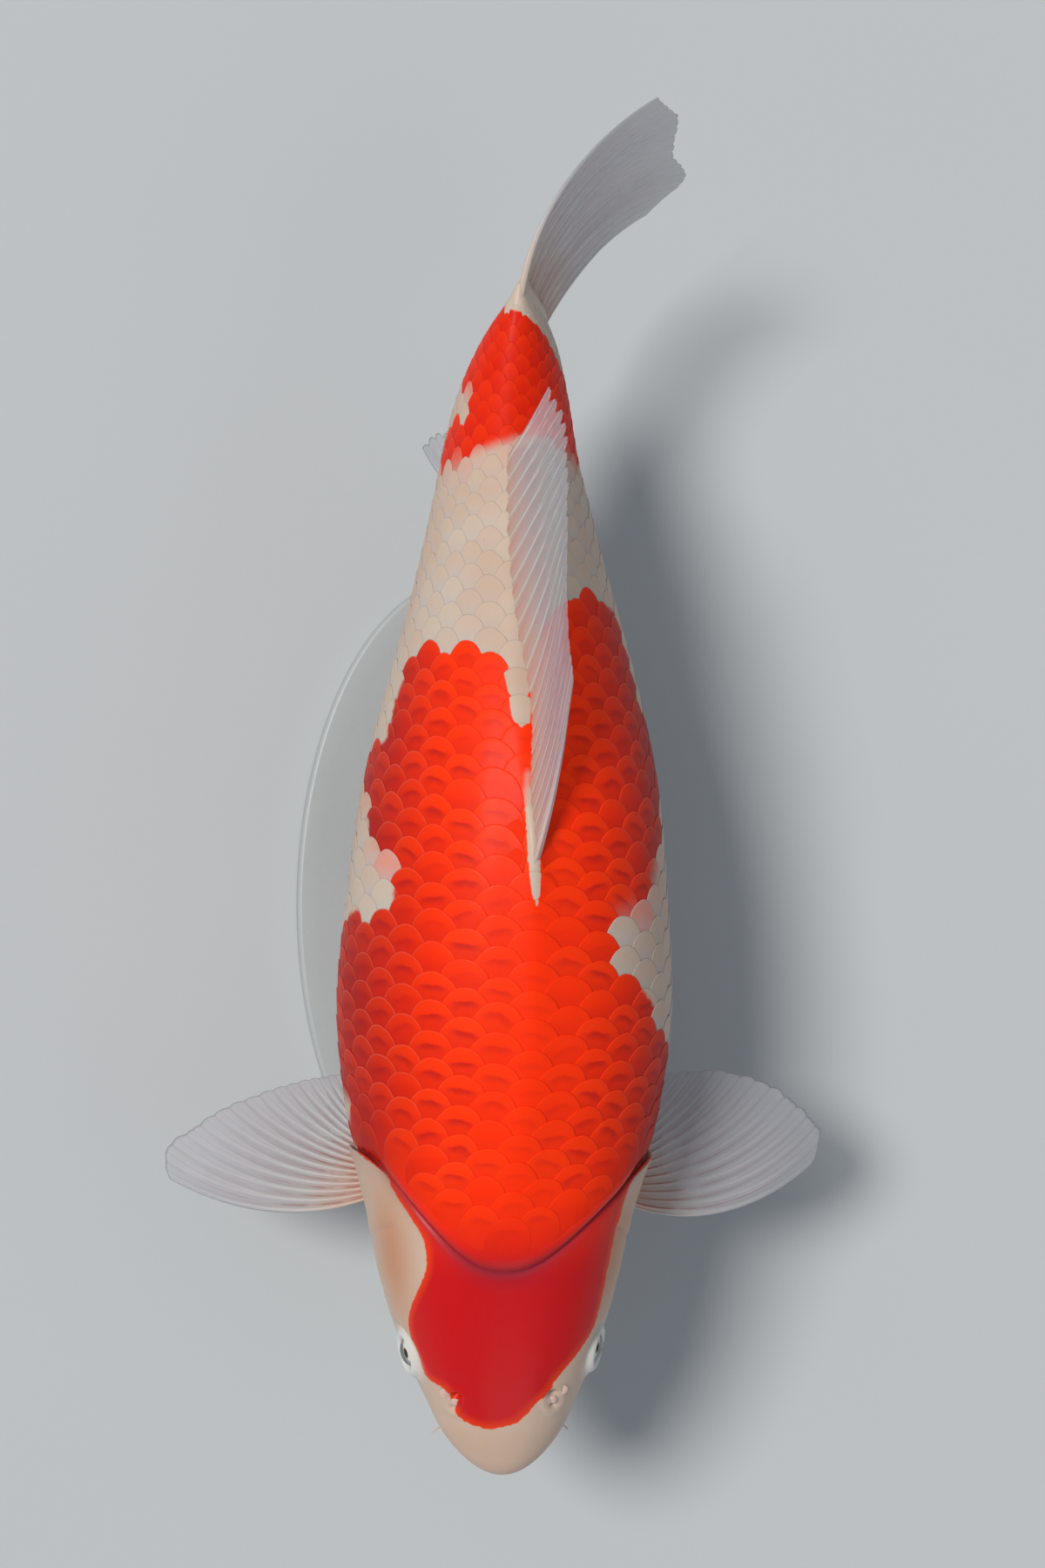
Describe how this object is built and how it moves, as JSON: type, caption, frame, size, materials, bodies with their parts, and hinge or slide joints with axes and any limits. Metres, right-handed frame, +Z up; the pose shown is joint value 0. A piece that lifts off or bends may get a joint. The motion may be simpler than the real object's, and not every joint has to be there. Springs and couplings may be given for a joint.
{
  "type": "koi carp",
  "caption": "Koi carp with red and white skin, a still life-size fish model with spread fins and a bent tail, held over a flat oval base by two short rods.",
  "frame": {"origin": "middle of the display base's underside, on the surface it rests on", "axes": "+Y towards the tail, with the snout at -Y; +X the fish's left side; +Z up"},
  "size_m": [0.3413, 0.6836, 0.2756],
  "materials": {
    "skin": "wet-looking scaled skin, orange-red patches on creamy white",
    "lip": "smooth soft creamy white skin",
    "fin": "thin translucent white membrane over fine rays",
    "eye": "clear glossy eye with a dark pupil and pale iris",
    "stand_base": "satin pale grey powder coat",
    "stand_rod": "brushed steel"
  },
  "bodies": {
    "root": {"head": "skin", "gill_cover_left": "skin", "gill_cover_right": "skin", "lip_upper": "lip", "lip_lower": "lip", "shoulder": "skin", "flank": "skin", "tail_stalk": "skin", "eye_left": "eye", "eye_right": "eye", "barbel_front_left": "lip", "barbel_front_right": "lip", "barbel_corner_left": "lip", "barbel_corner_right": "lip", "pectoral_fin_left": "fin", "pectoral_fin_right": "fin", "pelvic_fin_left": "fin", "pelvic_fin_right": "fin", "dorsal_fin": "fin", "anal_fin": "fin", "tail_fin_upper": "fin", "tail_fin_lower": "fin", "stand_base": "stand_base", "stand_rod_front": "stand_rod", "stand_rod_rear": "stand_rod", "stand_collar_front": "stand_rod", "stand_collar_rear": "stand_rod"}
  },
  "joints": []
}
